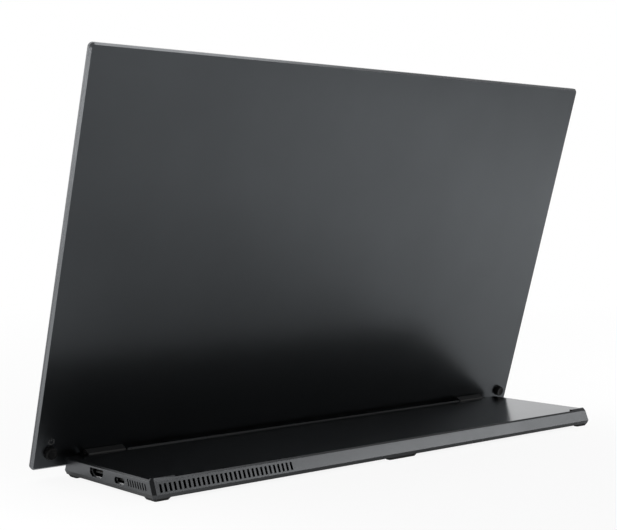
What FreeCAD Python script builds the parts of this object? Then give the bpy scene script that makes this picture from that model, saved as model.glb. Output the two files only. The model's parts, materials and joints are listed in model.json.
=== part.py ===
import FreeCAD, Part
import math
import os

Vector = FreeCAD.Vector

# Portable monitor: a thin display that turns on the front edge of a flat electronics base.
# Lengths are millimetres, and the table is z = 0.
# X runs along the hinge, +Y to the rear of the base and +Z up.
# Right and left are those of a person facing the screen, so right is +X.
# The display is drawn folded flat on the base, back face down, and then opened about the hinge.

# Cuts run past the faces that they open by this much
overrun = 0.5
# Gap around a piece that is dropped into its seat
seat_gap = 0.1
# Radial gap of a pin in the hole that holds it
pin_fit = 0.02
# Radial gap of a bearing that turns on its pin
running_fit = 0.03
# Edges this close to a height are taken to lie at it
level_tolerance = 0.001
sides = {"right": 1, "left": -1}

# Display rear cover: a tray with a chamfered back rim
panel_width = 358.7
panel_height = 215.85
panel_corner_radius = 2.5
cover_depth = 2.85
cover_back_wall = 0.9
cover_rim_wall = 1.6
cover_back_chamfer = 1.02
cover_front_chamfer = 0.3
cover_inner_cut = 0.9

# Front glass, on the rim's front face
glass_thickness = 0.7
glass_inset = 0.8
glass_bevel = 0.12

# Display module, its frame and its tape
side_border = 7.25
top_border = 5.75
module_border = 2.0
module_glass_gap = 0.05
frame_gap = 0.15
frame_foot_width = 1.0
frame_button_gap = 1.15
tape_thickness = 0.35
tape_width = 9.0
tape_end_margin = 12.0
tape_count = 6

# Base housing: front and rear walls lean outwards going down, end walls are upright
base_side_inset = 16.825
base_top_depth = 76.17
wall_height = 5.85
wall_run = 2.4
top_chamfer_height = 0.88
top_chamfer_inset = 0.68
bottom_chamfer_height = 1.99
bottom_chamfer_inset = 0.88
base_corner_cut = 1.6
base_front_cut = 0.6
base_inner_cut = 0.6
base_wall = 1.4
top_wall = 1.2
floor_wall = 1.2
foot_height = 1.4

# Raised rib along the front edge, between the hinges
rib_setback = 0.15
rib_width = 1.25
rib_fold_gap = 0.2
rib_bevel = 0.3

# Raised lands at the rear corners, which carry the folded display
land_length = 14.0
land_width = 2.6
land_fold_gap = 0.1

# Hinge: barrels on the display turn in pockets of the base
open_angle = 73.54
fold_gap = 0.8
axis_drop = 1.72
axis_forward = 2.1
panel_below_axis = 5.09
barrel_radius = 3.95
barrel_length = 22.2
barrel_end_margin = 23.3
barrel_flat_depth = 0.45
barrel_flat_slope = 27.0
barrel_bore_radius = 2.0
barrel_window_gap = 0.08
pocket_gap = 0.35
pocket_end_gap = 1.0
pocket_wall = 1.1
lug_radius = 1.68
lug_thickness = 2.2
pin_radius = 1.0
clip_end_gap = 0.3
clip_slit = 0.8
leaf_length = 30.0
leaf_rim_gap = 0.5
leaf_frame_gap = 1.05
leaf_thickness = 0.7
leaf_corner_cut = 1.0
leaf_screw_count = 2
leaf_screw_pitch = 18.0
leaf_screw_inset = 2.3
leaf_screw_radius = 0.8
leaf_head_radius = 1.5
leaf_head_height = 0.45
leaf_screw_bite = 0.5
screw_hole_gap = 0.1
screw_head_sides = 6

# Round buttons on the back of the display
button_rise = 9.0
button_radius = 3.2
button_proud = 2.6
button_edge = 0.4
button_hole_gap = 0.2
button_tab_reach = 0.7
button_tab_width = 4.6
button_tab_thickness = 0.33
button_tab_gap = 0.02
button_travel = 0.45
dish_radius = 2.3
dish_floor_radius = 1.2
dish_depth = 0.35

# Switch and switch board under each button
switch_width = 5.2
switch_body_height = 0.23
switch_lens_gap = 1.35
plunger_width = 2.8
plunger_height = 0.1
plunger_gap = 0.02
switch_board_height = 7.2
switch_board_thickness = 0.35
stake_gap = 0.4
stake_width = 1.6
stake_length = 5.0

# Light guide in the right side of the rim
lens_rise = 10.0
lens_depth = 2.1
lens_width = 0.7
lens_height = 2.0
lens_length = 2.1

# Driver board along the lower edge of the display
driver_end_gap = 10.2
driver_height = 8.6
driver_rim_gap = 1.0
driver_thickness = 0.8
driver_connector_count = 4
driver_connector_length = 18.0
driver_connector_height = 3.4
driver_connector_thickness = 0.7

# Main board in the base
board_length = 206.0
board_end_gap = 0.3
board_front_margin = 17.0
board_rear_margin = 14.0
board_thickness = 1.0
board_screw_inset = 3.0
board_screw_radius = 1.0
board_head_radius = 1.8
board_head_height = 0.7
rest_width = 4.8

# Sockets in the right end wall
port_pitch = 20.65
video_port_rise = 4.96
video_port_width = 12.1
video_port_height = 4.28
video_port_cut_width = 2.2
video_port_cut_height = 1.7
video_port_depth = 8.2
video_tongue_width = 8.4
video_tongue_thickness = 0.9
data_port_rear_margin = 27.07
data_port_width = 8.7
data_port_height = 3.2
data_port_depth = 7.4
data_tongue_width = 6.2
data_tongue_thickness = 0.7
port_shell_wall = 0.3
port_back_thickness = 1.2
tongue_setback = 1.0

# Slanted vent in the right end wall, centred at a share of the wall's height
vent_height_share = 0.48
end_slot_count = 8
end_slot_pitch = 2.09
end_slot_width = 0.9
end_slot_height = 3.5
end_slot_rear_margin = 4.74

# Long vent in the rear wall, at its right half
rear_slot_count = 30
rear_slot_pitch = 2.71
rear_slot_width = 1.3
rear_slot_height = 3.8
rear_slot_end_margin = 4.5

# Parts on the main board
chip_height = 1.0
scaler_width = 16.0
scaler_end_margin = 50.5
scaler_rear_gap = 4.0
power_chip_width = 7.0
power_chip_end_margin = 34.5
power_chip_front_margin = 6.0
memory_chip_width = 9.0
memory_chip_length = 12.0
memory_chip_count = 2
memory_chip_pitch = 16.0
memory_chip_end_margin = 86.0
memory_chip_front_margin = 15.0
coil_count = 3
coil_pitch = 9.0
coil_end_margin = 16.5
coil_front_margin = 8.0
coil_width = 6.0
coil_height = 3.0
coil_bevel = 0.8

# Heat sink on the scaler chip
sink_length = 56.0
sink_depth = 17.0
sink_base_thickness = 0.9
sink_top_gap = 0.5
sink_fin_thickness = 0.8
sink_fin_count = 16

# Bottom cover, its lip and its countersunk screws
lip_height = 0.7
lip_wall = 0.8
post_column_shares = (-0.4615, 0.4615)
post_front_margin = 9.5
post_rear_margin = 7.0
post_width = 4.4
bottom_screw_radius = 0.9
bottom_head_radius = 1.8
bottom_head_recess = 0.1
bottom_screw_tip_gap = 1.2
floor_rib_thickness = 0.9
floor_rib_height = 1.6
floor_rib_column_shares = (-0.43, -0.375, -0.32, -0.265, -0.21)
floor_rib_front_margin = 18.0
floor_rib_rear_margin = 12.0

# Rubber feet
foot_edge_inset = 0.3
foot_taper = 0.9
foot_corner_cut = 0.5
corner_foot_length = 9.5
corner_foot_return = 9.7
corner_foot_width = 5.0
front_foot_length = 8.0
front_foot_width = 6.0
center_foot_length = 21.0
center_foot_width = 5.0

# Heights that follow
bottom_z = foot_height
seam_z = bottom_z + bottom_chamfer_height
shoulder_z = seam_z + wall_height
top_z = shoulder_z + top_chamfer_height
ceiling_z = top_z - top_wall
floor_z = bottom_z + floor_wall
axis_z = top_z - axis_drop
video_port_z = bottom_z + video_port_rise
board_top_z = video_port_z - video_port_height / 2
board_z = board_top_z - board_thickness
back_z = top_z + fold_gap
inner_back_z = back_z + cover_back_wall
front_face_z = back_z + cover_depth
vent_z = seam_z + vent_height_share * wall_height
bottom_head_z = bottom_z + bottom_head_recess
bottom_head_height = floor_z - bottom_head_z
bottom_screw_tip_z = ceiling_z - bottom_screw_tip_gap
screw_hole_top_z = bottom_screw_tip_z + screw_hole_gap

# The part's origin is under the middle of its depth with the display open
opened = math.radians(open_angle)
axis_to_glass = front_face_z + glass_thickness - axis_z
glass_below_axis = panel_below_axis - glass_inset - glass_bevel
front_reach = axis_forward + glass_below_axis * math.cos(opened) + axis_to_glass * math.sin(opened)
front_y = (front_reach - base_top_depth - wall_run) / 2
rear_y = front_y + base_top_depth
axis_y = front_y - axis_forward
base_width = panel_width - 2 * base_side_inset
end_x = base_width / 2
slant = math.degrees(math.atan2(wall_run, wall_height))
lip_inset = base_wall + seat_gap
foot_inset = bottom_chamfer_inset + foot_edge_inset
board_right_x = end_x - lip_inset - lip_wall - board_end_gap
board_left_x = board_right_x - board_length
board_front_y = front_y + board_front_margin
board_rear_y = rear_y - board_rear_margin
data_port_y = rear_y - data_port_rear_margin
barrel_centre = end_x - barrel_end_margin
barrel_low = barrel_centre - barrel_length / 2
barrel_high = barrel_centre + barrel_length / 2
pocket_low = barrel_low - pocket_end_gap
pocket_high = barrel_high + pocket_end_gap
pocket_radius = barrel_radius + pocket_gap

# Places on the folded display
panel_low_y = axis_y - panel_below_axis
panel_high_y = panel_low_y + panel_height
button_y = panel_low_y + button_rise
stake_offset = button_radius + button_tab_reach + stake_gap
switch_board_width = 2 * (stake_offset + stake_width)
button_offset = panel_width / 2 - lens_length - switch_lens_gap - switch_board_width / 2
button_tab_z = inner_back_z + button_tab_gap
plunger_z = button_tab_z + button_tab_thickness + button_travel + plunger_gap
switch_board_z = plunger_z + plunger_height + switch_body_height
frame_low_y = button_y + button_radius + frame_button_gap
module_low_y = frame_low_y + frame_foot_width + frame_gap
active_low_y = module_low_y + module_border
active_high_y = panel_high_y - top_border
active_width = panel_width - 2 * side_border
leaf_low_y = panel_low_y + cover_rim_wall + leaf_rim_gap
leaf_high_y = frame_low_y - leaf_frame_gap
driver_low_y = panel_low_y + cover_rim_wall + driver_rim_gap
driver_length = 2 * (barrel_centre - leaf_length / 2 - driver_end_gap)


def block(x_low, x_high, y_low, y_high, z_low, z_high):
    """Plain block between two corners."""
    return Part.makeBox(x_high - x_low, y_high - y_low, z_high - z_low, Vector(x_low, y_low, z_low))


def rod(radius, x_low, x_high, y, z):
    """Round bar along X."""
    return Part.makeCylinder(radius, x_high - x_low, Vector(x_low, y, z), Vector(1, 0, 0))


def post(radius, x, y, z_low, z_high):
    """Upright round bar."""
    return Part.makeCylinder(radius, z_high - z_low, Vector(x, y, z_low))


def on_side(shape, side):
    """Right-hand shape, or its mirror image for the left."""
    if side > 0:
        return shape
    return shape.mirror(Vector(0, 0, 0), Vector(1, 0, 0))


def opened_display(shape):
    """Turns a shape of the folded display to its open position."""
    turned = shape.copy()
    turned.rotate(Vector(0, axis_y, axis_z), Vector(1, 0, 0), open_angle)
    return turned


def cut_outline(x_low, x_high, y_low, y_high, low_cut, high_cut, z):
    """Corners of a rectangle at height z that is cut off at its two low-y and its two high-y corners."""
    points = (
        (x_high - high_cut, y_high),
        (x_low + high_cut, y_high),
        (x_low, y_high - high_cut),
        (x_low, y_low + low_cut),
        (x_low + low_cut, y_low),
        (x_high - low_cut, y_low),
        (x_high, y_low + low_cut),
        (x_high, y_high - high_cut),
    )
    return [Vector(x, y, z) for x, y in points]


def flat_face(corners):
    """Flat face with straight edges."""
    return Part.Face(Part.makePolygon(corners + corners[:1]))


def inner_cut(cut, inset):
    """Corner cut of an outline that is drawn in by inset on all sides."""
    return cut - inset * (2 - math.sqrt(2))


def loft(outlines):
    """Solid with flat sides through outlines at rising heights."""
    faces = [flat_face(outlines[0]), flat_face(outlines[-1])]
    for low, high in zip(outlines, outlines[1:]):
        ends = zip(low, low[1:] + low[:1], high[1:] + high[:1], high)
        faces.extend(flat_face(list(corners)) for corners in ends)
    return Part.Solid(Part.Shell(faces))


def upright_edges(solid):
    """Edges that run along Z."""
    return [edge for edge in solid.Edges if abs(edge.tangentAt(edge.FirstParameter).z) == 1]


def level_edges(solid, z):
    """Edges that lie at height z."""
    return [edge for edge in solid.Edges if abs(edge.CenterOfMass.z - z) < level_tolerance]


def extrude_section(points, x_low, x_high):
    """Section given by (y, z) points, carried along X."""
    corners = [Vector(x_low, y, z) for y, z in points]
    return flat_face(corners).extrude(Vector(x_high - x_low, 0, 0))


def slot(width, height, depth):
    """Rectangular slot, centred on the origin and running along +Z for depth."""
    return block(-width / 2, width / 2, -height / 2, height / 2, 0, depth)


def on_right_end(shape, x, y, z, lean=0):
    """Turns a shape drawn along +Z to run along +X from a point, leaned about that line."""
    placed = shape.copy()
    turn = FreeCAD.Rotation(Vector(0, 1, 0), Vector(0, 0, 1), Vector(1, 0, 0), "ZXY")
    leaned = FreeCAD.Rotation(Vector(1, 0, 0), lean)
    placed.Placement = FreeCAD.Placement(Vector(x, y, z), leaned.multiply(turn))
    return placed


def on_rear_wall(shape, x, y, z):
    """Turns a shape drawn along +Z to run along +Y from a point."""
    placed = shape.copy()
    turn = FreeCAD.Rotation(Vector(-1, 0, 0), Vector(0, 0, 1), Vector(0, 1, 0), "ZXY")
    placed.Placement = FreeCAD.Placement(Vector(x, y, z), turn)
    return placed


def wall_lean(z):
    """How far the front and rear walls stand out at a height, from their top edge."""
    return wall_run * (shoulder_z - z) / wall_height


def base_outline(lean, inset, front_cut, rear_cut, z):
    """Outline of the base at a height, drawn in by inset."""
    low_y = front_y - lean + inset
    high_y = rear_y + lean - inset
    return cut_outline(inset - end_x, end_x - inset, low_y, high_y, front_cut, rear_cut, z)


def outer_outline(lean, inset, z):
    """Outline of the base's outside at a height."""
    return base_outline(lean, inset, inner_cut(base_front_cut, inset), inner_cut(base_corner_cut, inset), z)


def inner_outline(lean, inset, z):
    """Outline of the room inside the base at a height."""
    return base_outline(lean, inset, base_inner_cut, base_inner_cut, z)


def post_places():
    """Centres of the screw posts."""
    rows = (front_y + post_front_margin, rear_y - post_rear_margin)
    return [(share * base_width, y) for share in post_column_shares for y in rows]


def rest_places():
    """Centres of the blocks that the main board rests on."""
    low_x = board_left_x + board_screw_inset
    high_x = board_right_x - board_screw_inset
    low_y = board_front_y + board_screw_inset
    high_y = board_rear_y - board_screw_inset
    return [(x, y) for x in (low_x, high_x) for y in (low_y, high_y)]


def board_screw_places():
    """Centres of the main board's screws, at two opposite corners."""
    places = rest_places()
    return [places[0], places[-1]]


def video_outline(width, height):
    """Socket outline with its two lower corners cut away."""
    half = width / 2
    low = -height / 2
    high = height / 2
    cut_y = low + video_port_cut_height
    cut_x = half - video_port_cut_width
    points = ((-half, high), (half, high), (half, cut_y), (cut_x, low), (-cut_x, low), (-half, cut_y))
    corners = [Vector(x, y, 0) for x, y in points]
    return Part.makePolygon(corners + corners[:1])


def data_outline(width, height):
    """Socket outline with half-round ends."""
    radius = height / 2
    reach = width / 2
    straight = reach - radius
    right_low = Vector(straight, -radius, 0)
    right_high = Vector(straight, radius, 0)
    left_low = Vector(-straight, -radius, 0)
    left_high = Vector(-straight, radius, 0)
    right = Part.Arc(right_low, Vector(reach, 0, 0), right_high).toShape()
    left = Part.Arc(left_high, Vector(-reach, 0, 0), left_low).toShape()
    high = Part.makeLine(right_high, left_high)
    low = Part.makeLine(left_low, right_low)
    return Part.Wire([right, high, left, low])


# Where each socket sits on the end wall
ports = {
    "video": {
        "outline": video_outline,
        "y": data_port_y - port_pitch,
        "z": video_port_z,
        "width": video_port_width,
        "height": video_port_height,
        "depth": video_port_depth,
        "tongue_width": video_tongue_width,
        "tongue_thickness": video_tongue_thickness,
    },
    "data": {
        "outline": data_outline,
        "y": data_port_y,
        "z": board_top_z + data_port_height / 2,
        "width": data_port_width,
        "height": data_port_height,
        "depth": data_port_depth,
        "tongue_width": data_tongue_width,
        "tongue_thickness": data_tongue_thickness,
    },
}


def port_prism(port, shrink, x_low, x_high):
    """Socket outline, drawn in by shrink, carried along X."""
    wire = port["outline"](port["width"] - 2 * shrink, port["height"] - 2 * shrink)
    solid = Part.Face(wire).extrude(Vector(0, 0, x_high - x_low))
    return on_right_end(solid, x_low, port["y"], port["z"])


def vent_cutters():
    """Slots of the end vent and of the rear vent."""
    cutters = []
    end_slot = slot(end_slot_width, end_slot_height, base_wall + 2 * overrun)
    for index in range(end_slot_count):
        y = rear_y - end_slot_rear_margin - index * end_slot_pitch
        cutters.append(on_right_end(end_slot, end_x - base_wall - overrun, y, vent_z, slant))
    depth = base_wall + wall_run + 2 * overrun
    rear_slot = slot(rear_slot_width, rear_slot_height, depth)
    for index in range(rear_slot_count):
        x = end_x - rear_slot_end_margin - index * rear_slot_pitch
        cutters.append(on_rear_wall(rear_slot, x, rear_y - base_wall - overrun, vent_z))
    return cutters


def front_rib():
    """Raised rib along the housing's front top edge."""
    low_y = front_y + rib_setback
    high_y = low_y + rib_width
    crest_z = back_z - rib_fold_gap
    section = (
        (low_y, ceiling_z),
        (high_y, ceiling_z),
        (high_y, top_z),
        (high_y - rib_bevel, crest_z),
        (low_y + rib_bevel, crest_z),
        (low_y, crest_z - rib_bevel),
    )
    return extrude_section(section, -pocket_low, pocket_low)


def rear_lands():
    """Raised lands on the rear corners, whose slopes carry on the top chamfer."""
    crest_z = back_z - land_fold_gap
    inset = top_chamfer_inset * (crest_z - shoulder_z) / top_chamfer_height
    crest_cut = inner_cut(base_corner_cut, inset)
    crest = loft([
        base_outline(0, 0, base_corner_cut, base_corner_cut, shoulder_z),
        base_outline(0, inset, crest_cut, crest_cut, crest_z),
    ])
    low_y = rear_y - land_width
    strip = block(end_x - land_length, end_x, low_y, rear_y, shoulder_z, crest_z)
    land = strip.common(crest)
    return [on_side(land, side) for side in sides.values()]


def hinge_lugs(side):
    """Ears at the two ends of a hinge pocket, which hold the pin."""
    lugs = []
    for x_low in (pocket_low - lug_thickness, pocket_high):
        x_high = x_low + lug_thickness
        ear = rod(lug_radius, x_low, x_high, axis_y, axis_z)
        web_y = front_y + base_wall
        web = block(x_low, x_high, axis_y, web_y, axis_z - lug_radius, axis_z + lug_radius)
        lugs.append(on_side(ear.fuse(web), side))
    return lugs


def base_housing():
    """Top and walls of the base, with hinge pockets, posts, vents and socket openings."""
    outer = loft([
        outer_outline(wall_run, 0, seam_z),
        outer_outline(0, 0, shoulder_z),
        outer_outline(0, top_chamfer_inset, top_z),
    ])
    low_z = seam_z - overrun
    inner = loft([
        inner_outline(wall_lean(low_z), base_wall, low_z),
        inner_outline(wall_lean(ceiling_z), base_wall, ceiling_z),
    ])
    shell = outer.cut(inner)
    added = [front_rib()] + rear_lands()
    cuts = vent_cutters()
    for side in sides.values():
        pocket = rod(pocket_radius, pocket_low, pocket_high, axis_y, axis_z)
        lining_low = pocket_low - pocket_wall
        lining_high = pocket_high + pocket_wall
        lining = rod(pocket_radius + pocket_wall, lining_low, lining_high, axis_y, axis_z)
        added.append(on_side(lining.common(outer), side))
        added.extend(hinge_lugs(side))
        cuts.append(on_side(pocket, side))
        hole_low = pocket_low - lug_thickness - overrun
        hole_high = pocket_high + lug_thickness + overrun
        cuts.append(on_side(rod(pin_radius + pin_fit, hole_low, hole_high, axis_y, axis_z), side))
    half = post_width / 2
    for x, y in post_places():
        added.append(block(x - half, x + half, y - half, y + half, floor_z, ceiling_z))
        cuts.append(post(bottom_screw_radius + screw_hole_gap, x, y, floor_z - overrun, screw_hole_top_z))
    for port in ports.values():
        cuts.append(port_prism(port, 0, end_x - base_wall - overrun, end_x + overrun))
    return shell.fuse(added).cut(cuts).removeSplitter()


def base_bottom_cover():
    """Floor of the base with its chamfered edge, locating lip, screw holes, board rests and ribs."""
    outer = loft([
        outer_outline(wall_run, bottom_chamfer_inset, bottom_z),
        outer_outline(wall_run, 0, seam_z),
    ])
    lip_top = seam_z + lip_height
    lip_outline = inner_outline(wall_lean(lip_top), lip_inset, floor_z)
    lip = flat_face(lip_outline).extrude(Vector(0, 0, lip_top - floor_z))
    room_outline = inner_outline(wall_lean(lip_top), lip_inset + lip_wall, floor_z)
    room = flat_face(room_outline).extrude(Vector(0, 0, lip_top - floor_z + overrun))
    pieces = floor_ribs()
    cuts = []
    shank_hole = bottom_screw_radius + screw_hole_gap
    head_slope = (bottom_head_radius - bottom_screw_radius) / bottom_head_height
    mouth = shank_hole + head_slope * floor_wall
    for x, y in post_places():
        cuts.append(Part.makeCone(mouth, shank_hole, floor_wall, Vector(x, y, bottom_z)))
    half = rest_width / 2
    for x, y in rest_places():
        pieces.append(block(x - half, x + half, y - half, y + half, floor_z - floor_wall / 2, board_z))
    for x, y in board_screw_places():
        cuts.append(post(board_screw_radius + screw_hole_gap, x, y, floor_z - floor_wall / 2, board_top_z))
    reach = pocket_wall + lug_thickness
    way_y = axis_y + pocket_radius + pocket_wall + seat_gap
    low_x = pocket_low - reach
    high_x = pocket_high + reach
    way = block(low_x, high_x, front_y - wall_run, way_y, seam_z, lip_top + overrun)
    cuts.extend(on_side(way, side) for side in sides.values())
    cuts.extend(port_prism(port, -seat_gap, board_right_x, end_x) for port in ports.values())
    return outer.fuse(lip).cut(room).fuse(pieces).cut(cuts).removeSplitter()


def floor_ribs():
    """Upright ribs that stiffen the empty half of the floor."""
    low_y = front_y + floor_rib_front_margin
    high_y = rear_y - floor_rib_rear_margin
    low_z = floor_z - floor_wall / 2
    high_z = floor_z + floor_rib_height
    half = floor_rib_thickness / 2
    columns = [share * base_width for share in floor_rib_column_shares]
    return [block(x - half, x + half, low_y, high_y, low_z, high_z) for x in columns]


def screw(shank_radius, head_radius, head_height, length, x, y, z):
    """Screw whose six-sided head stands on z, with its shank below."""
    turns = [math.tau * index / screw_head_sides for index in range(screw_head_sides)]
    corners = [
        Vector(x + head_radius * math.cos(turn), y + head_radius * math.sin(turn), z)
        for turn in turns
    ]
    head = flat_face(corners).extrude(Vector(0, 0, head_height))
    shank = post(shank_radius, x, y, z - length, z)
    return head.fuse(shank).removeSplitter()


def bottom_screws():
    """Countersunk screws that hold the bottom cover to the housing's posts."""
    screws = []
    for x, y in post_places():
        place = Vector(x, y, bottom_head_z)
        head = Part.makeCone(bottom_head_radius, bottom_screw_radius, bottom_head_height, place)
        shank = post(bottom_screw_radius, x, y, floor_z, bottom_screw_tip_z)
        screws.append(head.fuse(shank).removeSplitter())
    return screws


def board_screws():
    """Screws that hold the main board on its rests."""
    length = board_top_z - floor_z
    return [
        screw(board_screw_radius, board_head_radius, board_head_height, length, x, y, board_top_z)
        for x, y in board_screw_places()
    ]


def tapered_foot(x_low, x_high, y_low, y_high):
    """Rubber foot that narrows towards the table."""
    root = cut_outline(x_low, x_high, y_low, y_high, foot_corner_cut, foot_corner_cut, bottom_z)
    x_low += foot_taper
    x_high -= foot_taper
    y_low += foot_taper
    y_high -= foot_taper
    tread = cut_outline(x_low, x_high, y_low, y_high, foot_corner_cut, foot_corner_cut, 0)
    return loft([tread, root])


def corner_foot():
    """Foot that wraps the rear right corner."""
    x_high = end_x - foot_inset
    y_high = rear_y + wall_run - foot_inset
    along_rear = tapered_foot(x_high - corner_foot_length, x_high, y_high - corner_foot_width, y_high)
    along_end = tapered_foot(x_high - corner_foot_width, x_high, y_high - corner_foot_return, y_high)
    return along_rear.fuse(along_end).removeSplitter()


def front_foot():
    """Foot at the front right corner, along the end wall."""
    x_high = end_x - foot_inset
    y_low = front_y - wall_run + foot_inset
    return tapered_foot(x_high - front_foot_width, x_high, y_low, y_low + front_foot_length)


def center_foot():
    """Foot at the middle of the rear edge."""
    half = center_foot_length / 2
    y_high = rear_y + wall_run - foot_inset
    return tapered_foot(-half, half, y_high - center_foot_width, y_high)


def main_board():
    """Circuit board that carries the sockets."""
    board = block(board_left_x, board_right_x, board_front_y, board_rear_y, board_z, board_top_z)
    holes = [
        post(board_screw_radius + screw_hole_gap, x, y, board_z - overrun, board_top_z + overrun)
        for x, y in board_screw_places()
    ]
    return board.cut(holes)


def port_mouth():
    """Where the sockets' shells start, behind the end wall."""
    return end_x - base_wall - pin_fit


def port_shell(port):
    """Metal shell of a socket, open at its mouth."""
    x_high = port_mouth()
    x_low = x_high - port["depth"]
    shell = port_prism(port, 0, x_low, x_high)
    room = port_prism(port, port_shell_wall, x_low - overrun, x_high + overrun)
    return shell.cut(room)


def port_insert(port):
    """Plastic block at the back of a socket, with its tongue."""
    x_low = port_mouth() - port["depth"]
    back = port_prism(port, port_shell_wall, x_low, x_low + port_back_thickness)
    x_high = port_mouth() - tongue_setback
    low_y = port["y"] - port["tongue_width"] / 2
    high_y = low_y + port["tongue_width"]
    low_z = port["z"] - port["tongue_thickness"] / 2
    high_z = low_z + port["tongue_thickness"]
    tongue = block(x_low, x_high, low_y, high_y, low_z, high_z)
    return back.fuse(tongue).removeSplitter()


def chip(x, y, width, length):
    """Flat chip on the main board."""
    low_x = x - width / 2
    low_y = y - length / 2
    return block(low_x, low_x + width, low_y, low_y + length, board_top_z, board_top_z + chip_height)


def scaler_place():
    """Middle of the scaler chip and of its heat sink."""
    return end_x - scaler_end_margin, board_rear_y - scaler_rear_gap - scaler_width / 2


def scaler_chip():
    """Picture processor."""
    x, y = scaler_place()
    return chip(x, y, scaler_width, scaler_width)


def power_chip():
    """Power controller beside the sockets."""
    x = end_x - power_chip_end_margin
    return chip(x, board_front_y + power_chip_front_margin, power_chip_width, power_chip_width)


def memory_chips():
    """Memory chips in a row."""
    y = board_front_y + memory_chip_front_margin
    first = end_x - memory_chip_end_margin
    places = [first - index * memory_chip_pitch for index in range(memory_chip_count)]
    return [chip(x, y, memory_chip_width, memory_chip_length) for x in places]


def board_coils():
    """Square power coils with cut corners, in a row behind the sockets."""
    x = end_x - coil_end_margin
    half = coil_width / 2
    coils = []
    for index in range(coil_count):
        y = board_front_y + coil_front_margin + index * coil_pitch
        coil = block(x - half, x + half, y - half, y + half, board_top_z, board_top_z + coil_height)
        coils.append(coil.makeChamfer(coil_bevel, upright_edges(coil)))
    return coils


def heat_sink():
    """Base plate on the scaler chip, with a row of fins towards the rear vent."""
    low_z = board_top_z + chip_height
    plate_z = low_z + sink_base_thickness
    x, y = scaler_place()
    low_x = x - sink_length / 2
    low_y = y - sink_depth / 2
    high_y = low_y + sink_depth
    plate = block(low_x, low_x + sink_length, low_y, high_y, low_z, plate_z)
    pitch = (sink_length - sink_fin_thickness) / (sink_fin_count - 1)
    fin_top = ceiling_z - sink_top_gap
    fins = []
    for index in range(sink_fin_count):
        fin_x = low_x + index * pitch
        fins.append(block(fin_x, fin_x + sink_fin_thickness, low_y, high_y, low_z, fin_top))
    return plate.fuse(fins).removeSplitter()


def hinge_pin():
    """Steel pin through the lugs and the barrel of the right hinge."""
    return rod(pin_radius, pocket_low - lug_thickness, pocket_high + lug_thickness, axis_y, axis_z)


def panel_plate(inset, z_low, z_high):
    """Plate of the folded display with rounded corners, drawn in by inset."""
    half = panel_width / 2 - inset
    plate = block(-half, half, panel_low_y + inset, panel_high_y - inset, z_low, z_high)
    return plate.makeFillet(panel_corner_radius - inset, upright_edges(plate))


def leaf_screw_places():
    """Centres of the right hinge leaf's screws."""
    first = barrel_centre - leaf_screw_pitch * (leaf_screw_count - 1) / 2
    y = leaf_high_y - leaf_screw_inset
    return [(first + index * leaf_screw_pitch, y) for index in range(leaf_screw_count)]


def display_rear_cover():
    """Tray with a chamfered back rim, windows for the barrels, button holes and switch stakes."""
    plate = panel_plate(0, back_z, front_face_z)
    plate = plate.makeChamfer(cover_back_chamfer, level_edges(plate, back_z))
    tray = plate.makeChamfer(cover_front_chamfer, level_edges(plate, front_face_z))
    half = panel_width / 2 - cover_rim_wall
    low_y = panel_low_y + cover_rim_wall
    high_y = panel_high_y - cover_rim_wall
    room_outline = cut_outline(-half, half, low_y, high_y, cover_inner_cut, cover_inner_cut, inner_back_z)
    room = flat_face(room_outline).extrude(Vector(0, 0, cover_depth))
    stakes = []
    cuts = [lens_bar(pin_fit, overrun)]
    window_low = barrel_low - barrel_window_gap
    window_high = barrel_high + barrel_window_gap
    window = rod(barrel_radius + barrel_window_gap, window_low, window_high, axis_y, axis_z)
    button_hole = button_radius + button_hole_gap
    screw_hole = leaf_screw_radius + screw_hole_gap
    screw_low_z = inner_back_z - leaf_screw_bite - screw_hole_gap
    past_z = inner_back_z + overrun
    for side in sides.values():
        x = side * button_offset
        stakes.extend(switch_stakes(x))
        cuts.append(on_side(window, side))
        cuts.append(post(button_hole, x, button_y, back_z - overrun, past_z))
        for screw_x, screw_y in leaf_screw_places():
            cuts.append(on_side(post(screw_hole, screw_x, screw_y, screw_low_z, past_z), side))
    return tray.cut(room).cut(cuts).fuse(stakes).removeSplitter()


def switch_stakes(x):
    """Two short ribs that carry a switch board."""
    low_y = button_y - stake_length / 2
    high_y = low_y + stake_length
    return [
        block(low_x, low_x + stake_width, low_y, high_y, inner_back_z, switch_board_z)
        for low_x in (x - stake_offset - stake_width, x + stake_offset)
    ]


def cover_glass():
    """Front glass with bevelled edges."""
    top = front_face_z + glass_thickness
    plate = panel_plate(glass_inset, front_face_z, top)
    return plate.makeChamfer(glass_bevel, level_edges(plate, top))


def module_box(margin, z_low, z_high):
    """Block around the display module, larger by margin on each side."""
    half = active_width / 2 + module_border + margin
    return block(-half, half, module_low_y - margin, active_high_y + module_border + margin, z_low, z_high)


def display_module():
    """The screen itself, behind the glass."""
    return module_box(0, inner_back_z + tape_thickness, front_face_z - module_glass_gap)


def module_frame():
    """Frame between the module and the cover's rim."""
    half = panel_width / 2 - cover_rim_wall - frame_gap
    high_y = panel_high_y - cover_rim_wall - frame_gap
    outline = cut_outline(-half, half, frame_low_y, high_y, cover_inner_cut, cover_inner_cut, inner_back_z)
    plate = flat_face(outline).extrude(Vector(0, 0, front_face_z - inner_back_z))
    return plate.cut(module_box(frame_gap, inner_back_z - overrun, front_face_z + overrun))


def module_tape():
    """Upright foam strips between the module and the cover."""
    low_y = active_low_y + tape_end_margin
    high_y = active_high_y - tape_end_margin
    pitch = active_width / tape_count
    strips = []
    for index in range(tape_count):
        low_x = (index + 0.5) * pitch - active_width / 2 - tape_width / 2
        high_x = low_x + tape_width
        strips.append(block(low_x, high_x, low_y, high_y, inner_back_z, inner_back_z + tape_thickness))
    return strips


def driver_board():
    """Narrow circuit board along the lower edge."""
    half = driver_length / 2
    high_y = driver_low_y + driver_height
    return block(-half, half, driver_low_y, high_y, inner_back_z, inner_back_z + driver_thickness)


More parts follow.
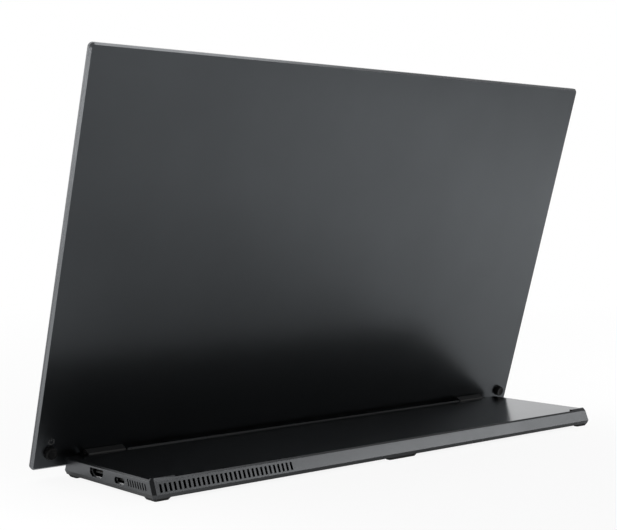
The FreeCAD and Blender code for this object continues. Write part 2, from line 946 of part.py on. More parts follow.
def driver_connectors():
    """Ribbon connectors along the driver board."""
    low_z = inner_back_z + driver_thickness
    high_z = low_z + driver_connector_thickness
    low_y = driver_low_y + (driver_height - driver_connector_height) / 2
    high_y = low_y + driver_connector_height
    pitch = driver_length / driver_connector_count
    connectors = []
    for index in range(driver_connector_count):
        low_x = (index + 0.5) * pitch - driver_length / 2 - driver_connector_length / 2
        connectors.append(block(low_x, low_x + driver_connector_length, low_y, high_y, low_z, high_z))
    return connectors


def hinge_arm():
    """Right hinge barrel with the leaf that is screwed inside the rear cover."""
    barrel = rod(barrel_radius, barrel_low, barrel_high, axis_y, axis_z)
    x_low = barrel_centre - leaf_length / 2
    x_high = x_low + leaf_length
    cut = leaf_corner_cut
    outline = cut_outline(x_low, x_high, leaf_low_y, leaf_high_y, cut, cut, inner_back_z)
    leaf = flat_face(outline).extrude(Vector(0, 0, leaf_thickness))
    bore = rod(barrel_bore_radius, barrel_low - overrun, barrel_high + overrun, axis_y, axis_z)
    cuts = [bore, barrel_flat()]
    screw_hole = leaf_screw_radius + screw_hole_gap
    high_z = inner_back_z + leaf_thickness + overrun
    for x, y in leaf_screw_places():
        cuts.append(post(screw_hole, x, y, inner_back_z - overrun, high_z))
    return barrel.fuse(leaf).cut(cuts).removeSplitter()


def barrel_flat():
    """Cutter for the right barrel's flat, which slopes to the rear when the display is open."""
    low_z = axis_z + barrel_radius - barrel_flat_depth
    low_y = axis_y - barrel_radius
    high_y = axis_y + barrel_radius
    high_z = axis_z + barrel_radius + overrun
    cutter = block(barrel_low - overrun, barrel_high + overrun, low_y, high_y, low_z, high_z)
    cutter.rotate(Vector(0, axis_y, axis_z), Vector(1, 0, 0), -open_angle - barrel_flat_slope)
    return cutter


def friction_clip():
    """Slit sleeve in the right barrel, which grips the pin and holds the display where it is put."""
    x_low = barrel_low + clip_end_gap
    x_high = barrel_high - clip_end_gap
    ring = rod(barrel_bore_radius - pin_fit, x_low, x_high, axis_y, axis_z)
    bore = rod(pin_radius + running_fit, x_low - overrun, x_high + overrun, axis_y, axis_z)
    y_low = axis_y - clip_slit / 2
    y_high = y_low + clip_slit
    slit = block(x_low - overrun, x_high + overrun, y_low, y_high, axis_z, axis_z + barrel_radius)
    return ring.cut([bore, slit])


def leaf_screws():
    """Screws that hold both hinge leaves to the rear cover."""
    z = inner_back_z + leaf_thickness
    length = leaf_thickness + leaf_screw_bite
    screws = []
    for side in sides.values():
        for x, y in leaf_screw_places():
            right = screw(leaf_screw_radius, leaf_head_radius, leaf_head_height, length, x, y, z)
            screws.append(on_side(right, side))
    return screws


def round_button(x):
    """Button cap with a bevelled edge, a dished face and two tabs inside the cover."""
    face_z = back_z - button_proud
    shoulder = button_radius - button_edge
    bevel = Part.makeCone(shoulder, button_radius, button_edge, Vector(x, button_y, face_z))
    cap = post(button_radius, x, button_y, face_z + button_edge, button_tab_z)
    reach = button_radius + button_tab_reach
    tab_top = button_tab_z + button_tab_thickness
    low_y = button_y - button_tab_width / 2
    tabs = block(x - reach, x + reach, low_y, low_y + button_tab_width, button_tab_z, tab_top)
    dish = Part.makeCone(dish_radius, dish_floor_radius, dish_depth, Vector(x, button_y, face_z))
    return cap.fuse([bevel, tabs]).cut(dish).removeSplitter()


def push_switch(x):
    """Low switch with a square plunger."""
    half = switch_width / 2
    body_z = switch_board_z - switch_body_height
    body = block(x - half, x + half, button_y - half, button_y + half, body_z, switch_board_z)
    half = plunger_width / 2
    plunger = block(x - half, x + half, button_y - half, button_y + half, plunger_z, switch_board_z)
    return body.fuse(plunger).removeSplitter()


def switch_board(x):
    """Small circuit board on its two ribs."""
    low_x = x - switch_board_width / 2
    low_y = button_y - switch_board_height / 2
    high_x = low_x + switch_board_width
    high_y = low_y + switch_board_height
    return block(low_x, high_x, low_y, high_y, switch_board_z, switch_board_z + switch_board_thickness)


def lens_bar(gap, extra):
    """Flat bar through the right side of the rim, with a gap around it and longer by extra at both ends."""
    x_high = panel_width / 2 + extra
    x_low = panel_width / 2 - lens_length - extra
    y_low = panel_low_y + lens_rise - lens_height / 2 - gap
    y_high = y_low + lens_height + 2 * gap
    z_low = back_z + lens_depth - lens_width / 2 - gap
    z_high = z_low + lens_width + 2 * gap
    return block(x_low, x_high, y_low, y_high, z_low, z_high)


def base_pieces():
    """Every piece of the base, by name."""
    pieces = {
        "base_housing": base_housing(),
        "base_bottom_cover": base_bottom_cover(),
        "bottom_screws": bottom_screws(),
        "foot_rear_center": center_foot(),
        "main_board": main_board(),
        "board_screws": board_screws(),
        "scaler_chip": scaler_chip(),
        "power_chip": power_chip(),
        "memory_chips": memory_chips(),
        "board_coils": board_coils(),
        "heat_sink": heat_sink(),
    }
    for name, port in ports.items():
        pieces[name + "_port_shell"] = port_shell(port)
        pieces[name + "_port_insert"] = port_insert(port)
    for name, side in sides.items():
        pieces["foot_front_" + name] = on_side(front_foot(), side)
        pieces["foot_rear_" + name] = on_side(corner_foot(), side)
        pieces["hinge_pin_" + name] = on_side(hinge_pin(), side)
    return pieces


def display_pieces():
    """Every piece of the folded display, by name."""
    pieces = {
        "display_rear_cover": display_rear_cover(),
        "cover_glass": cover_glass(),
        "display_module": display_module(),
        "module_frame": module_frame(),
        "module_tape": module_tape(),
        "driver_board": driver_board(),
        "driver_connectors": driver_connectors(),
        "leaf_screws": leaf_screws(),
        "status_lens": lens_bar(0, 0),
    }
    for name, side in {"power": 1, "menu": -1}.items():
        x = side * button_offset
        pieces[name + "_button"] = round_button(x)
        pieces[name + "_switch"] = push_switch(x)
        pieces[name + "_switch_board"] = switch_board(x)
    for name, side in sides.items():
        pieces["hinge_arm_" + name] = on_side(hinge_arm(), side)
        pieces["friction_clip_" + name] = on_side(friction_clip(), side)
    return pieces


def as_shape(piece):
    """One solid, or a group of separate solids."""
    if isinstance(piece, list):
        return Part.makeCompound(piece)
    return piece


os.makedirs("parts", exist_ok=True)
nodes = {name: as_shape(piece) for name, piece in base_pieces().items()}
nodes.update({name: opened_display(as_shape(piece)) for name, piece in display_pieces().items()})
for name, shape in nodes.items():
    shape.exportStep("parts/" + name + ".step")
    print(name, len(shape.Solids), "solids", round(shape.Volume, 3), "mm3", "valid", shape.isValid())
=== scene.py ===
import json
import math

import bmesh
import bpy
from mathutils import Matrix, Vector


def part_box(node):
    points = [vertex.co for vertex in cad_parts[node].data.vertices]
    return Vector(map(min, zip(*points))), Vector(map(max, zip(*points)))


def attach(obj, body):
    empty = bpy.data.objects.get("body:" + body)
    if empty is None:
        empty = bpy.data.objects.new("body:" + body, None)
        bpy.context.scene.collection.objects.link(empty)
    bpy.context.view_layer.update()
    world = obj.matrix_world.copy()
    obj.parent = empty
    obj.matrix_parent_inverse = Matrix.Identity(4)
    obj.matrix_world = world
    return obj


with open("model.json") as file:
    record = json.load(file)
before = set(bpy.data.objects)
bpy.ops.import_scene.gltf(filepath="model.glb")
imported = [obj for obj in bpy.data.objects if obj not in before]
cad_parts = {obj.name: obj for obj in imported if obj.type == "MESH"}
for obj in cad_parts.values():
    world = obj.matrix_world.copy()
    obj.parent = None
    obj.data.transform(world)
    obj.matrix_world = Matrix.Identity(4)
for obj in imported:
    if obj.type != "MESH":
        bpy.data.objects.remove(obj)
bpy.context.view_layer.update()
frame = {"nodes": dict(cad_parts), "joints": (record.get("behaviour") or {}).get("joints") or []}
nodes = frame["nodes"]
MM = 0.001

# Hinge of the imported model, and the angle at which the display stands at rest
hinge = next(joint for joint in frame["joints"] if joint["type"] == "hinge")
hinge_point = Vector(hinge["pos_m"])
open_angle = -math.radians(hinge["range_deg"][0])
open_turn = Matrix.Rotation(open_angle, 4, "X")
opened = Matrix.Translation(hinge_point) @ open_turn @ Matrix.Translation(-hinge_point)


# Node helpers

class Graph:
    """Short way to write a material's nodes."""

    def __init__(self, name):
        self.material = bpy.data.materials.new(name)
        self.material.use_nodes = True
        self.tree = self.material.node_tree
        self.tree.nodes.clear()
        self.output = self.add("ShaderNodeOutputMaterial")
        self.shader = self.add("ShaderNodeBsdfPrincipled")
        self.link(self.shader, "BSDF", self.output, "Surface")
        self.coordinates = self.add("ShaderNodeTexCoord")

    def add(self, kind, **values):
        node = self.tree.nodes.new(kind)
        for key, value in values.items():
            setattr(node, key, value)
        return node

    def link(self, source, out, target, into):
        self.tree.links.new(source.outputs[out], target.inputs[into])

    def noise(self, scale, detail, stretch):
        node = self.add("ShaderNodeTexNoise")
        node.inputs["Scale"].default_value = scale
        node.inputs["Detail"].default_value = detail
        if stretch is None:
            self.link(self.coordinates, "Object", node, "Vector")
        else:
            mapping = self.add("ShaderNodeMapping")
            mapping.inputs["Scale"].default_value = stretch
            self.link(self.coordinates, "Object", mapping, "Vector")
            self.link(mapping, "Vector", node, "Vector")
        return node

    def map_range(self, source, out, low, high, from_low=0.3, from_high=0.7):
        node = self.add("ShaderNodeMapRange")
        node.inputs["From Min"].default_value = from_low
        node.inputs["From Max"].default_value = from_high
        node.inputs["To Min"].default_value = low
        node.inputs["To Max"].default_value = high
        self.link(source, out, node, "Value")
        return node

    def mix(self, source, out, low, high):
        node = self.add("ShaderNodeMix", data_type="RGBA")
        node.inputs["A"].default_value = (*low, 1)
        node.inputs["B"].default_value = (*high, 1)
        self.link(source, out, node, "Factor")
        return node

    def product(self, first, first_out, second, second_out):
        node = self.add("ShaderNodeMath", operation="MULTIPLY")
        self.link(first, first_out, node, 0)
        self.link(second, second_out, node, 1)
        return node

    def bump(self, source, out, strength, distance, normal):
        node = self.add("ShaderNodeBump")
        node.inputs["Strength"].default_value = strength
        node.inputs["Distance"].default_value = distance
        self.link(source, out, node, "Height")
        self.link(normal, "Normal", node, "Normal")
        return node

    def rounded(self, radius):
        node = self.add("ShaderNodeBevel", samples=4)
        node.inputs["Radius"].default_value = radius
        return node


def surface(name, low, high, metallic=0.0, rough=(0.4, 0.5), patch=40.0, grain=4000.0,
            grain_strength=0.15, grain_depth=0.03 * MM, edge=0.12 * MM, specular=0.5, stretch=None):
    """Material with patchy colour, patchy roughness, a fine grain and softened edges."""
    wear = patch * 3.1
    graph = Graph(name)
    shader = graph.shader
    shader.inputs["Metallic"].default_value = metallic
    shader.inputs["Specular IOR Level"].default_value = specular
    patches = graph.noise(patch, detail=3.0, stretch=stretch)
    tint = graph.mix(graph.map_range(patches, "Fac", 0.0, 1.0), "Result", low, high)
    graph.link(tint, "Result", shader, "Base Color")
    worn = graph.noise(wear, detail=4.0, stretch=stretch)
    roughness = graph.map_range(worn, "Fac", rough[0], rough[1])
    graph.link(roughness, "Result", shader, "Roughness")
    grains = graph.noise(grain, detail=2.0, stretch=stretch)
    bumped = graph.bump(grains, "Fac", grain_strength, grain_depth, graph.rounded(edge))
    graph.link(bumped, "Normal", shader, "Normal")
    return graph


def shade(value, tint=(1.0, 1.0, 1.0)):
    return tuple(value * part for part in tint)


# Materials

cool = (0.955, 0.985, 1.02)
slate = (0.93, 0.99, 1.05)


def blasted_metal(name, low, high, rough, patch=24.0, tint=cool):
    """Dark metal with a fine satin blast."""
    return surface(name, shade(low, tint), shade(high, tint), metallic=1.0, rough=rough, patch=patch,
                   grain=5200.0, grain_strength=0.10, edge=0.15 * MM)


anodised = blasted_metal("anodised_cover", 0.082, 0.090, rough=(0.275, 0.295), patch=18.0,
                         tint=slate).material
# Rim metal: a lighter copy of the cover metal, painted highlight on the rim's sides and chamfers. Rim side
# metal: a darker, rougher copy, painted shade on the rim's end faces.
rim_highlight_metal = blasted_metal("rim_painted_highlight", 0.19, 0.21, rough=(0.24, 0.28), patch=30.0).material
rim_side_shade_metal = blasted_metal("rim_side_painted_shade", 0.124, 0.136, rough=(0.46, 0.50), patch=30.0).material
wall_metal = blasted_metal("anodised_walls", 0.138, 0.148, rough=(0.23, 0.25)).material
# Darker copies of the wall metal for the top chamfer, the raised lands and the base's top: painted shade.
# The top copy is also glossier.
edge_shade_metal = blasted_metal("anodised_edges_painted_shade", 0.090, 0.098, rough=(0.23, 0.25)).material
# Bottom cover metal: a darker copy of the wall metal, painted shade where the base meets the floor.
under_shade_metal = blasted_metal("anodised_bottom_painted_shade", 0.084, 0.092, rough=(0.25, 0.28)).material
land_shade_metal = blasted_metal("anodised_lands_painted_shade", 0.040, 0.046, rough=(0.25, 0.28)).material
top_shade_finish = blasted_metal("anodised_top_painted_shade", 0.068, 0.074, rough=(0.155, 0.165))
top_shade_finish.shader.inputs["Specular Tint"].default_value = (0.9, 0.9, 0.9, 1)
top_shade_metal = top_shade_finish.material
satin_black = surface("hinge_black", shade(0.005), shade(0.008), rough=(0.36, 0.46), patch=120.0,
                      grain=6000.0, grain_strength=0.12, specular=0.38).material
button_skin = surface("button_plastic", shade(0.004), shade(0.007), rough=(0.4, 0.5), patch=200.0,
                      grain=7000.0, grain_strength=0.15, edge=0.25 * MM, specular=0.14).material
rubber = surface("foot_rubber", shade(0.020), shade(0.032), rough=(0.62, 0.8), patch=260.0, grain=3000.0,
                 grain_strength=0.4, grain_depth=0.06 * MM, specular=0.3).material
steel = surface("turned_steel", shade(0.40), shade(0.50), metallic=1.0, rough=(0.22, 0.34), patch=300.0,
                grain=3000.0, grain_strength=0.12, stretch=(1, 6, 6)).material
# Socket shell steel, darker than the steel on the shell's front edge: painted shade inside the sockets.
port_steel_painted_shade = surface("port_steel_painted_shade", shade(0.10), shade(0.14), metallic=1.0, rough=(0.28, 0.38), patch=300.0,
                     grain=2600.0, grain_strength=0.12, stretch=(0.2, 2, 2)).material
mouth_steel = surface("socket_mouth_steel", shade(0.34), shade(0.42), metallic=1.0, rough=(0.25, 0.35),
                      patch=300.0, grain=2600.0, grain_strength=0.12).material
port_black = surface("port_plastic", shade(0.010), shade(0.016), rough=(0.4, 0.55), patch=400.0).material
gold = surface("contact_gold", (0.62, 0.45, 0.16), (0.72, 0.53, 0.22), metallic=1.0, rough=(0.2, 0.3),
               patch=500.0).material
solder_mask = surface("circuit_board", (0.006, 0.055, 0.026), (0.012, 0.085, 0.042), rough=(0.25, 0.4),
                      patch=90.0, grain=900.0, grain_strength=0.2).material
chip_black = surface("chip_package", shade(0.016), shade(0.024), rough=(0.5, 0.65), patch=300.0).material
ferrite = surface("coil_ferrite", shade(0.045), shade(0.065), rough=(0.5, 0.7), patch=300.0).material
cream = surface("connector_plastic", (0.58, 0.56, 0.50), (0.68, 0.66, 0.60), rough=(0.4, 0.5),
                patch=200.0).material
bare_metal = surface("heat_sink_metal", shade(0.52), shade(0.62), metallic=1.0, rough=(0.3, 0.42),
                     patch=80.0, grain=1500.0, grain_strength=0.2, stretch=(4, 0.3, 4)).material
frame_black = surface("frame_plastic", shade(0.014), shade(0.022), rough=(0.45, 0.6), patch=120.0).material
foam = surface("foam_tape", shade(0.035), shade(0.06), rough=(0.8, 0.95), patch=200.0, grain=1800.0,
               grain_strength=0.6, grain_depth=0.1 * MM).material
panel_black = surface("screen_layers", shade(0.006), shade(0.01), rough=(0.12, 0.2), patch=20.0).material
light_guide = surface("light_guide", shade(0.03), shade(0.045), rough=(0.2, 0.3), patch=500.0).material
mark_paint = surface("mark_paint", shade(0.10), shade(0.12), rough=(0.45, 0.55), patch=500.0).material


def screen_glass():
    """Front glass: a dark picture area inside a black printed border."""
    border = 2.0 * MM
    blur = 0.1 * MM
    border_black = shade(0.004)
    picture_black = (0.014, 0.015, 0.019)
    low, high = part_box("display_module")
    half_x = high.x - border
    low_z = low.z + border
    high_z = high.z - border
    graph = surface("front_glass", shade(0.006), shade(0.008), rough=(0.24, 0.28), patch=14.0, grain=9000.0,
                    grain_strength=0.04, edge=0.1 * MM, specular=0.35)
    separate = graph.add("ShaderNodeSeparateXYZ")
    graph.link(graph.coordinates, "Object", separate, "Vector")
    across = graph.add("ShaderNodeMath", operation="ABSOLUTE")
    graph.link(separate, "X", across, 0)
    in_x = graph.map_range(across, "Value", 1.0, 0.0, half_x - blur, half_x + blur)
    above = graph.map_range(separate, "Z", 0.0, 1.0, low_z - blur, low_z + blur)
    below = graph.map_range(separate, "Z", 1.0, 0.0, high_z - blur, high_z + blur)
    in_z = graph.product(above, "Result", below, "Result")
    picture = graph.product(in_z, "Value", in_x, "Result")
    tint = graph.mix(picture, "Value", border_black, picture_black)
    graph.link(tint, "Result", graph.shader, "Base Color")
    return graph.material


by_material = {
    anodised: ["display_rear_cover"],
    wall_metal: ["base_housing"],
    under_shade_metal: ["base_bottom_cover"],
    satin_black: ["hinge_arm_right", "hinge_arm_left"],
    button_skin: ["power_button", "menu_button"],
    rubber: ["foot_front_right", "foot_front_left", "foot_rear_right", "foot_rear_left",
             "foot_rear_center"],
    steel: ["bottom_screws", "board_screws", "leaf_screws", "hinge_pin_right", "hinge_pin_left",
            "friction_clip_right", "friction_clip_left"],
    port_steel_painted_shade: ["video_port_shell", "data_port_shell"],
    port_black: ["video_port_insert", "data_port_insert", "power_switch", "menu_switch"],
    solder_mask: ["main_board", "driver_board", "power_switch_board", "menu_switch_board"],
    chip_black: ["scaler_chip", "power_chip", "memory_chips"],
    ferrite: ["board_coils"],
    cream: ["driver_connectors"],
    bare_metal: ["heat_sink"],
    frame_black: ["module_frame"],
    foam: ["module_tape"],
    panel_black: ["display_module"],
    light_guide: ["status_lens"],
    screen_glass(): ["cover_glass"],
}
for material, names in by_material.items():
    for name in names:
        mesh = nodes[name].data
        mesh.materials.clear()
        mesh.materials.append(material)


# Faces that get a material of their own

def box_of(points):
    """Lowest and highest corner of the box around some points."""
    low = Vector(min(point[axis] for point in points) for axis in range(3))
    high = Vector(max(point[axis] for point in points) for axis in range(3))
    return low, high


# The display's pieces as they lie when it is folded flat, back face down
folded = opened.inverted()
cover_low, cover_high = box_of([folded @ vertex.co for vertex in nodes["display_rear_cover"].data.vertices])

# Least part of a face's normal along an axis, for a face square to it, nearly so, or at a slant
SQUARE = 0.99
NEAR_SQUARE = 0.9
SLANTED = 0.35


def on_rim(face):
    """True for the outer sides and chamfers of the display's rim."""
    reach = 1.1 * MM
    center = folded @ face.center
    beside = min(center.x - cover_low.x, cover_high.x - center.x)
    along = min(center.y - cover_low.y, cover_high.y - center.y)
    return min(beside, along) < reach and abs((folded.to_3x3() @ face.normal).z) < NEAR_SQUARE


def on_rim_side(face):
    """True for the upright faces of the rim at the display's two ends."""
    return on_rim(face) and abs(face.normal.x) > NEAR_SQUARE


def flat_top_height():
    """Height of the base's large top face."""
    up_faces = [face for face in nodes["base_housing"].data.polygons if face.normal.z > SQUARE]
    return max(up_faces, key=lambda face: face.area).center.z


base_top_z = flat_top_height()


def on_base_top(face):
    """True for the base's large top face, but not for the raised rib and lands."""
    same_height = 0.02 * MM
    return face.normal.z > SQUARE and abs(face.center.z - base_top_z) < same_height


def is_raised(face):
    """True for the rib and the lands, which stand on the base's top."""
    step = 0.04 * MM
    return face.center.z > base_top_z + step


def on_corner(face):
    """True for the facets at the base's upright corners."""
    return min(abs(face.normal.x), abs(face.normal.y)) > SLANTED


def on_top_edge(face):
    """True for the chamfer around the base's top."""
    reach = 0.85 * MM
    steepest = 0.2
    flattest = 0.95
    return steepest < face.normal.z < flattest and face.center.z > base_top_z - reach


def on_end_edge(face):
    """True for the chamfer at the ends of the base's top."""
    return on_top_edge(face) and abs(face.normal.x) > SLANTED


def on_mouth(name):
    """Test for the front edge of a socket's shell."""
    reach = 0.01 * MM
    front_x = max(vertex.co.x for vertex in nodes[name].data.vertices)
    return lambda face: face.center.x > front_x - reach


def paint_faces(name, coats):
    """Further materials on a node, each on the faces that its test picks first."""
    mesh = nodes[name].data
    for material, _ in coats:
        mesh.materials.append(material)
    for face in mesh.polygons:
        picked = [index for index, (_, wanted) in enumerate(coats, 1) if wanted(face)]
        face.material_index = picked[0] if picked else 0


# The shells' front edges keep a lighter steel, and the rest of each shell is the darker painted-shade
# steel.
for name in ("video_port_shell", "data_port_shell"):
    paint_faces(name, [(mouth_steel, on_mouth(name))])
# Painted highlight on the cover's rim, and painted shade on the rim's end faces.
paint_faces("display_rear_cover", [(rim_side_shade_metal, on_rim_side), (rim_highlight_metal, on_rim)])
# The housing's top, raised rib and lands, corner facets, end chamfers and top chamfer get darker copies of
# the wall metal: painted shade.
paint_faces("base_housing", [
    (top_shade_metal, on_base_top),
    (land_shade_metal, is_raised),
    (land_shade_metal, on_corner),
    (land_shade_metal, on_end_edge),
    (edge_shade_metal, on_top_edge),
])


# Pieces

def new_piece(name, build, material, body):
    """Mesh object from a bmesh builder, riding on a body."""
    grid = bmesh.new()
    build(grid)
    bmesh.ops.recalc_face_normals(grid, faces=grid.faces)
    mesh = bpy.data.meshes.new(name)
    grid.to_mesh(mesh)
    grid.free()
    mesh.materials.append(material)
    piece = bpy.data.objects.new(name, mesh)
    bpy.context.scene.collection.objects.link(piece)
    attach(piece, body)


def prism(grid, outline, low, high, place):
    """Closed prism over an outline of (x, y) points, between two heights, moved by a matrix."""
    bottom = [grid.verts.new(place @ Vector((x, y, low))) for x, y in outline]
    top = [grid.verts.new(place @ Vector((x, y, high))) for x, y in outline]
    grid.faces.new(bottom)
    grid.faces.new(top)
    count = len(outline)
    for index in range(count):
        after = (index + 1) % count
        grid.faces.new((bottom[index], bottom[after], top[after], top[index]))


def rectangle(low_x, low_y, high_x, high_y):
    """Outline of a rectangle."""
    return (low_x, low_y), (high_x, low_y), (high_x, high_y), (low_x, high_y)


def arc_band(inner, outer, start, end, steps):
    """Outline of a curved band between two angles."""
    angles = [math.radians(start + (end - start) * index / steps) for index in range(steps + 1)]
    outside = [(outer * math.cos(angle), outer * math.sin(angle)) for angle in angles]
    inside = [(inner * math.cos(angle), inner * math.sin(angle)) for angle in reversed(angles)]
    return outside + inside


def power_mark(grid):
    """Open ring with an upright stroke, printed above the power button."""
    above_button = 6.1 * MM
    ring_inner = 1.35 * MM
    ring_outer = 1.62 * MM
    ring_start = 128.0
    ring_end = 412.0
    ring_steps = 40
    stroke_half = 0.13 * MM
    stroke_low = 0.35 * MM
    stroke_high = 1.9 * MM
    proud = -0.02 * MM
    sunk = 0.05 * MM
    corners = [folded @ vertex.co for vertex in nodes["power_button"].data.vertices]
    button_low, button_high = box_of(corners)
    button_x = sum(corner.x for corner in corners) / len(corners)
    button_y = (button_low.y + button_high.y) / 2
    place = opened @ Matrix.Translation((button_x, button_y + above_button, cover_low.z))
    ring = arc_band(ring_inner, ring_outer, ring_start, ring_end, ring_steps)
    stroke = rectangle(-stroke_half, stroke_low, stroke_half, stroke_high)
    prism(grid, ring, proud, sunk, place)
    prism(grid, stroke, proud, sunk, place)


def contacts(name, count):
    """Builder for the contact strips on both faces of a socket's tongue."""
    tip_depth = 0.01 * MM
    strip_start = 4.2 * MM
    strip_end = 0.4 * MM
    strip_share = 0.28
    proud = 0.04 * MM
    corners = [vertex.co for vertex in nodes[name].data.vertices]
    tip = max(corner.x for corner in corners)
    low, high = box_of([corner for corner in corners if corner.x > tip - tip_depth])
    pitch = (high.y - low.y) / (count + 1)
    half = pitch * strip_share

    def build(grid):
        for index in range(count):
            y = low.y + (index + 1) * pitch
            outline = rectangle(tip - strip_start, y - half, tip - strip_end, y + half)
            for z in (low.z, high.z):
                prism(grid, outline, z - proud, z + proud, Matrix())

    return build


def solids_of(name):
    """Corners of each separate solid of a node."""
    same_place = 0.001 * MM
    grid = bmesh.new()
    grid.from_mesh(nodes[name].data)
    bmesh.ops.remove_doubles(grid, verts=grid.verts, dist=same_place)
    left = set(grid.verts)
    groups = []
    while left:
        group = []
        edge = [left.pop()]
        while edge:
            vertex = edge.pop()
            group.append(vertex.co.copy())
            near = {link.other_vert(vertex) for link in vertex.link_edges} & left
            left -= near
            edge.extend(near)
        groups.append(group)
    grid.free()
    return groups


def screw_cross_shade(grid):
    """Flat black crosses on the faces of the bottom screws: painted shade standing for their cross
    recesses.
    """
    arm = 0.95 * MM
    half = 0.2 * MM
    proud = 0.03 * MM
    quarter = [(half, half), (half, arm), (-half, arm)]
    outline = []
    for _ in range(4):
        outline += quarter
        quarter = [(-y, x) for x, y in quarter]
    for corners in solids_of("bottom_screws"):
        low, high = box_of(corners)
        place = Matrix.Translation(((low.x + high.x) / 2, (low.y + high.y) / 2, low.z))
        prism(grid, outline, -proud, proud, place)


new_piece("power_mark", power_mark, mark_paint, "display")
new_piece("video_contacts", contacts("video_port_insert", count=9), gold, "base")
new_piece("data_contacts", contacts("data_port_insert", count=11), gold, "base")
# Black crosses on the bottom screws: painted shade for their recesses.
new_piece("screw_cross_shade", screw_cross_shade, port_black, "base")


# Floor, light and camera

def white_floor():
    """Pale floor, white to the camera apart from a faint contact shadow, lit as paper for reflections."""
    size = 6.0
    near = 0.25
    far = 1.2
    near_share = 0.9
    mesh = bpy.data.meshes.new("floor")
    corners = [(-size, -size, 0), (size, -size, 0), (size, size, 0), (-size, size, 0)]
    mesh.from_pydata(corners, [], [(0, 1, 2, 3)])
    floor = bpy.data.objects.new("floor", mesh)
    bpy.context.scene.collection.objects.link(floor)
    graph = Graph("floor_paper")
    graph.tree.nodes.remove(graph.shader)
    paper = graph.add("ShaderNodeBsdfDiffuse")
    paper.inputs["Color"].default_value = (0.9, 0.9, 0.9, 1)
    glow = graph.add("ShaderNodeEmission")
    glow.inputs["Color"].default_value = (1, 1, 1, 1)
    path = graph.add("ShaderNodeLightPath")
    reach = graph.add("ShaderNodeVectorMath", operation="LENGTH")
    graph.link(graph.coordinates, "Object", reach, 0)
    fade = graph.map_range(reach, "Value", near_share, 1.0, near, far)
    share = graph.product(path, "Is Camera Ray", fade, "Result")
    mixed = graph.add("ShaderNodeMixShader")
    graph.link(share, "Value", mixed, "Fac")
    graph.link(paper, "BSDF", mixed, 1)
    graph.link(glow, "Emission", mixed, 2)
    graph.link(mixed, "Shader", graph.output, "Surface")
    mesh.materials.append(graph.material)


def white_world():
    """White surround, as a light brighter on the screen's side than at the rear."""
    world = bpy.data.worlds.new("studio")
    bpy.context.scene.world = world
    world.use_nodes = True
    tree = world.node_tree
    tree.nodes.clear()
    output = tree.nodes.new("ShaderNodeOutputWorld")
    seen = tree.nodes.new("ShaderNodeBackground")
    seen.inputs["Color"].default_value = (1, 1, 1, 1)
    lit = tree.nodes.new("ShaderNodeBackground")
    lit.inputs["Color"].default_value = (0.98, 0.99, 1.0, 1)
    direction = tree.nodes.new("ShaderNodeTexCoord")
    separate = tree.nodes.new("ShaderNodeSeparateXYZ")
    tree.links.new(direction.outputs["Generated"], separate.inputs["Vector"])
    strength = tree.nodes.new("ShaderNodeMapRange")
    strength.interpolation_type = "SMOOTHSTEP"
    strength.inputs["From Min"].default_value = -0.8
    strength.inputs["From Max"].default_value = 0.1
    strength.inputs["To Min"].default_value = 1.15
    strength.inputs["To Max"].default_value = 0.32
    tree.links.new(separate.outputs["Y"], strength.inputs["Value"])
    tree.links.new(strength.outputs["Result"], lit.inputs["Strength"])
    path = tree.nodes.new("ShaderNodeLightPath")
    mixed = tree.nodes.new("ShaderNodeMixShader")
    tree.links.new(path.outputs["Is Camera Ray"], mixed.inputs["Fac"])
    tree.links.new(lit.outputs["Background"], mixed.inputs[1])
    tree.links.new(seen.outputs["Background"], mixed.inputs[2])
    tree.links.new(mixed.outputs["Shader"], output.inputs["Surface"])


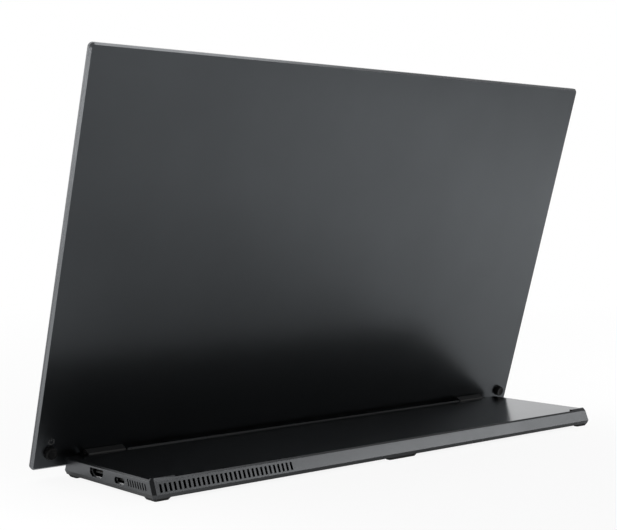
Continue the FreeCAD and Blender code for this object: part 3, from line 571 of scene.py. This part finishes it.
def photo_camera():
    """Camera at the photograph's viewing angle."""
    azimuth = math.radians(139.2692)
    elevation = math.radians(2.3075)
    roll = math.radians(-0.1938)
    place = (0.489312, 0.532348, 0.132706)
    focal_pixels = 1283.194
    image_width = 617
    sensor_width = 36.0
    back = Vector((math.sin(azimuth) * math.cos(elevation), -math.cos(azimuth) * math.cos(elevation),
                   math.sin(elevation)))
    right = (-back).cross(Vector((0, 0, 1))).normalized()
    up = right.cross(-back)
    rolled_right = right * math.cos(roll) + up * math.sin(roll)
    rolled_up = up * math.cos(roll) - right * math.sin(roll)
    turn = Matrix((rolled_right, rolled_up, back)).transposed().to_4x4()
    data = bpy.data.cameras.new("photo_camera")
    data.sensor_width = sensor_width
    data.lens = sensor_width * focal_pixels / image_width
    data.clip_start = 0.01
    data.clip_end = 50.0
    camera = bpy.data.objects.new("photo_camera", data)
    camera.matrix_world = Matrix.Translation(place) @ turn
    bpy.context.scene.collection.objects.link(camera)
    bpy.context.scene.camera = camera


def softbox(name, place, target, width, height, radiance, on_floor=True, in_gloss=True):
    """Area light that faces a point and stays out of the picture."""
    data = bpy.data.lights.new(name, "AREA")
    data.shape = "RECTANGLE"
    data.size = width
    data.size_y = height
    data.energy = radiance * math.pi * width * height
    light = bpy.data.objects.new(name, data)
    light.location = place
    light.rotation_mode = "QUATERNION"
    light.rotation_quaternion = (Vector(target) - Vector(place)).to_track_quat("-Z", "Y")
    light.visible_camera = False
    light.visible_diffuse = on_floor
    light.visible_glossy = in_gloss
    bpy.context.scene.collection.objects.link(light)


white_floor()
white_world()
softbox("left_light", place=(1.05, -1.7, 0.55), target=(0, 0, 0.1),
        width=1.4, height=1.0, radiance=2.0, on_floor=False)
softbox("back_light", place=(-0.6, -1.7, 1.2), target=(-0.2, 0, 0),
        width=1.6, height=1.2, radiance=2.0, in_gloss=False)
softbox("right_light", place=(-1.08, 0.984, 0.50), target=(-0.54, -0.084, 0.03),
        width=0.9, height=0.20, radiance=1.75, on_floor=False)
softbox("far_light", place=(-1.261, 0.291, 0.94), target=(0, 0, 0),
        width=0.45, height=0.45, radiance=0.25, on_floor=False)
softbox("top_light", place=(-0.75, 0.6, 1.55), target=(0, 0, 0.2),
        width=0.6, height=0.6, radiance=1.6, on_floor=False)
softbox("right_floor_light", place=(-0.55, 0.22, 0.42), target=(-0.55, 0.22, 0),
        width=0.4, height=0.4, radiance=3.7, in_gloss=False)
softbox("left_floor_light", place=(0.26, 0.10, 0.12), target=(0.26, 0.10, 0),
        width=0.10, height=0.10, radiance=4.1, in_gloss=False)
softbox("near_floor_light", place=(0.80, 0.27, 0.25), target=(0.80, 0.27, 0),
        width=0.30, height=0.30, radiance=5.6, in_gloss=False)
photo_camera()
bpy.context.scene.view_settings.view_transform = "Standard"
